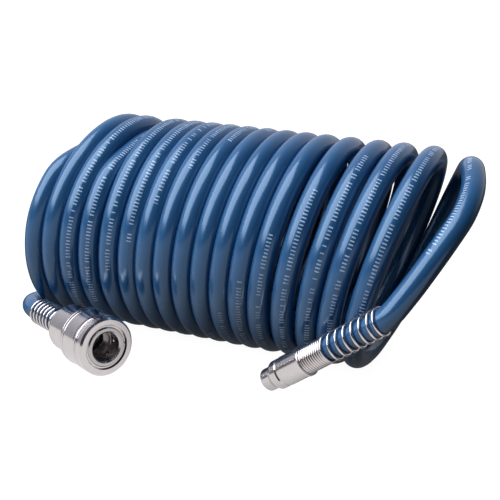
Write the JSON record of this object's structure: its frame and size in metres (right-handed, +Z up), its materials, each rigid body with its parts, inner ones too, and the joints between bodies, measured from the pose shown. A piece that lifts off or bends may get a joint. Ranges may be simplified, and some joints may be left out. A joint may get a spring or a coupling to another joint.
{
  "type": "coiled air hose",
  "caption": "Coiled blue air hose lying on its side, with a nickel-plated quick coupler on one end, a plug on the other, and a wire kink guard behind each.",
  "frame": {"origin": "centre of the footprint on the floor that the hose lies on", "axes": "+X along the axis of the coil towards the end with the open loop and the plug, +Y towards the back of the coil, away from the coupler and the plug, +Z up"},
  "size_m": [0.2291, 0.1342, 0.101],
  "materials": {
    "hose_blue": "smooth semi-gloss polyurethane, deep blue",
    "nickel_plate": "bright nickel plate over turned brass and steel",
    "turned_steel": "fine turned steel, satin",
    "ball_steel": "polished bearing steel",
    "spring_wire": "bright drawn spring wire",
    "seal_rubber": "black seal rubber, matt"
  },
  "bodies": {
    "coupler_end": {"hose_coil": "hose_blue", "hose_lead_coupler": "hose_blue", "coupler_body": "turned_steel", "stop_collar": "nickel_plate", "sleeve_spring": "spring_wire", "plug_seal": "seal_rubber", "valve_spring": "spring_wire", "rear_body": "nickel_plate", "body_seal": "seal_rubber", "coupler_hose_tail": "turned_steel", "coupler_kink_guard": "spring_wire"},
    "plug_end": {"hose_lead_plug": "hose_blue", "plug_body": "nickel_plate", "plug_collar": "nickel_plate", "plug_hose_tail": "turned_steel", "plug_kink_guard": "spring_wire"},
    "sleeve": {"coupler_sleeve": "nickel_plate"},
    "valve": {"valve_poppet": "turned_steel", "poppet_seal": "seal_rubber"},
    "ball_1": {"locking_ball_1": "ball_steel"},
    "ball_2": {"locking_ball_2": "ball_steel"},
    "ball_3": {"locking_ball_3": "ball_steel"},
    "ball_4": {"locking_ball_4": "ball_steel"},
    "ball_5": {"locking_ball_5": "ball_steel"},
    "ball_6": {"locking_ball_6": "ball_steel"}
  },
  "joints": [
    {"name": "coil_stretch", "type": "slide", "parent": "coupler_end", "child": "plug_end", "axis": [1, 0, 0], "range_m": [0, 0.6], "stiffness_N_per_m": 20, "deforming": ["hose_coil"]},
    {"name": "sleeve_slide", "type": "slide", "parent": "coupler_end", "child": "sleeve", "axis": [-0.9135, 0.4067, 0], "range_m": [0, 0.0035], "stiffness_N_per_m": 2500, "deforming": ["sleeve_spring"]},
    {"name": "valve_open", "type": "slide", "parent": "coupler_end", "child": "valve", "axis": [-0.9135, 0.4067, 0], "range_m": [0, 0.0026], "stiffness_N_per_m": 1200, "deforming": ["valve_spring"]},
    {"name": "ball_1_out", "type": "slide", "parent": "coupler_end", "child": "ball_1", "axis": [0.4067, 0.9135, 0], "range_m": [0, 0.0006]},
    {"name": "ball_2_out", "type": "slide", "parent": "coupler_end", "child": "ball_2", "axis": [0.2034, 0.4568, 0.866], "range_m": [0, 0.0006]},
    {"name": "ball_3_out", "type": "slide", "parent": "coupler_end", "child": "ball_3", "axis": [-0.2034, -0.4568, 0.866], "range_m": [0, 0.0006]},
    {"name": "ball_4_out", "type": "slide", "parent": "coupler_end", "child": "ball_4", "axis": [-0.4067, -0.9135, 0], "range_m": [0, 0.0006]},
    {"name": "ball_5_out", "type": "slide", "parent": "coupler_end", "child": "ball_5", "axis": [-0.2034, -0.4568, -0.866], "range_m": [0, 0.0006]},
    {"name": "ball_6_out", "type": "slide", "parent": "coupler_end", "child": "ball_6", "axis": [0.2034, 0.4568, -0.866], "range_m": [0, 0.0006]}
  ],
  "couplings": [
    {"joint": "ball_1_out", "follows": "sleeve_slide", "ratio": 0.17143},
    {"joint": "ball_2_out", "follows": "sleeve_slide", "ratio": 0.17143},
    {"joint": "ball_3_out", "follows": "sleeve_slide", "ratio": 0.17143},
    {"joint": "ball_4_out", "follows": "sleeve_slide", "ratio": 0.17143},
    {"joint": "ball_5_out", "follows": "sleeve_slide", "ratio": 0.17143},
    {"joint": "ball_6_out", "follows": "sleeve_slide", "ratio": 0.17143}
  ]
}
